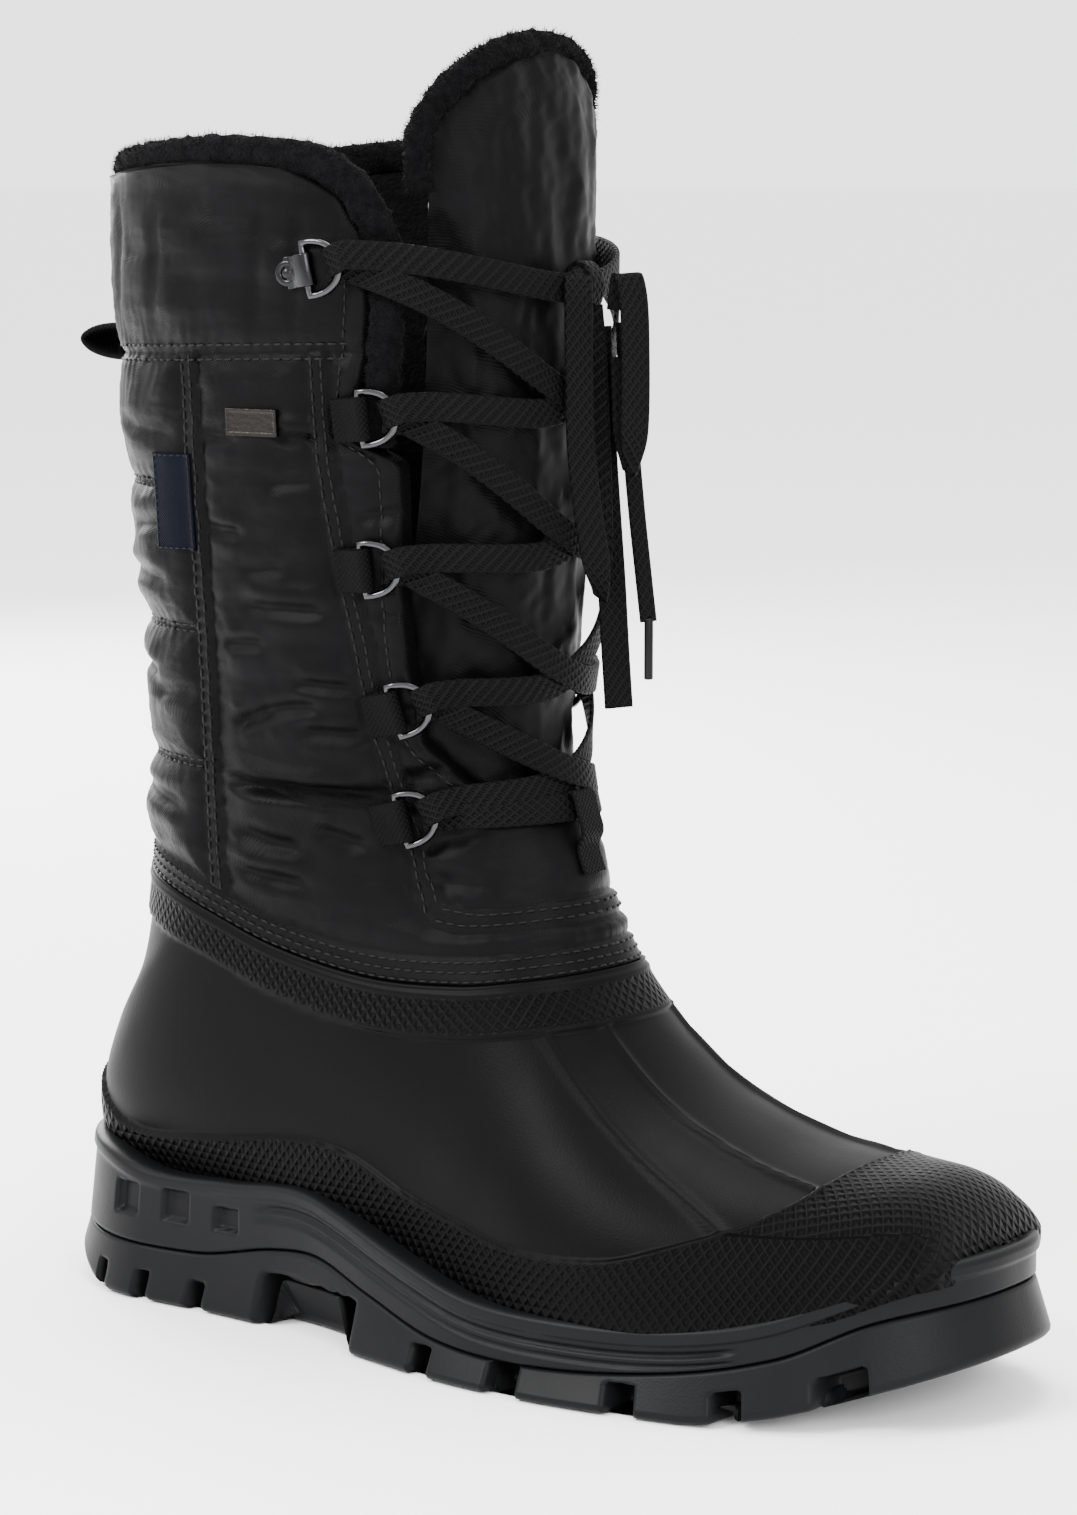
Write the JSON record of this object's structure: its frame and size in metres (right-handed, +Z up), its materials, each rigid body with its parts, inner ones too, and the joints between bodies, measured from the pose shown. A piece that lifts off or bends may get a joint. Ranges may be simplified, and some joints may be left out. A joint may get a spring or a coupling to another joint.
{
  "type": "snow boot",
  "caption": "Tall laced snow boot with a moulded rubber foot, a padded quilted shaft, a high tongue and a lugged sole.",
  "frame": {"origin": "on the floor under the middle of the heel, on the heel's flat resting face", "axes": "+X from heel to toe, +Y to the boot's inner side, +Z up"},
  "size_m": [0.311, 0.1245, 0.363],
  "materials": {
    "sole_rubber": "satin",
    "foot_rubber": "satin",
    "felt": "matte",
    "nylon": "satin",
    "fleece": "matte",
    "webbing": "matte",
    "ring_steel": "polished",
    "plate_steel": "brushed",
    "label": "matte",
    "lace": "matte",
    "lace_tip": "glossy"
  },
  "bodies": {
    "root": {"outsole": "sole_rubber", "midsole": "sole_rubber", "shell": "foot_rubber", "insole": "felt", "shaft": "nylon", "collar_binding": "fleece", "tongue": "nylon", "tongue_binding": "fleece", "ring_outer_1": "ring_steel", "ring_outer_2": "ring_steel", "ring_outer_3": "ring_steel", "ring_outer_4": "ring_steel", "ring_outer_5": "ring_steel", "ring_inner_1": "ring_steel", "ring_inner_2": "ring_steel", "ring_inner_3": "ring_steel", "ring_inner_4": "ring_steel", "ring_inner_5": "ring_steel", "ring_clip_outer": "ring_steel", "ring_clip_inner": "ring_steel", "ring_tab_outer_2": "webbing", "ring_tab_outer_3": "webbing", "ring_tab_outer_4": "webbing", "ring_tab_outer_5": "webbing", "ring_tab_inner_2": "webbing", "ring_tab_inner_3": "webbing", "ring_tab_inner_4": "webbing", "ring_tab_inner_5": "webbing", "side_plate": "plate_steel", "side_label": "label", "pull_loop": "webbing", "lace_keeper": "webbing", "lace_crossings": "lace", "lace_knot": "lace", "bow_loop_outer": "lace", "bow_loop_inner": "lace", "lace_end_outer": "lace", "lace_end_inner": "lace", "lace_tip": "lace_tip"}
  },
  "joints": []
}
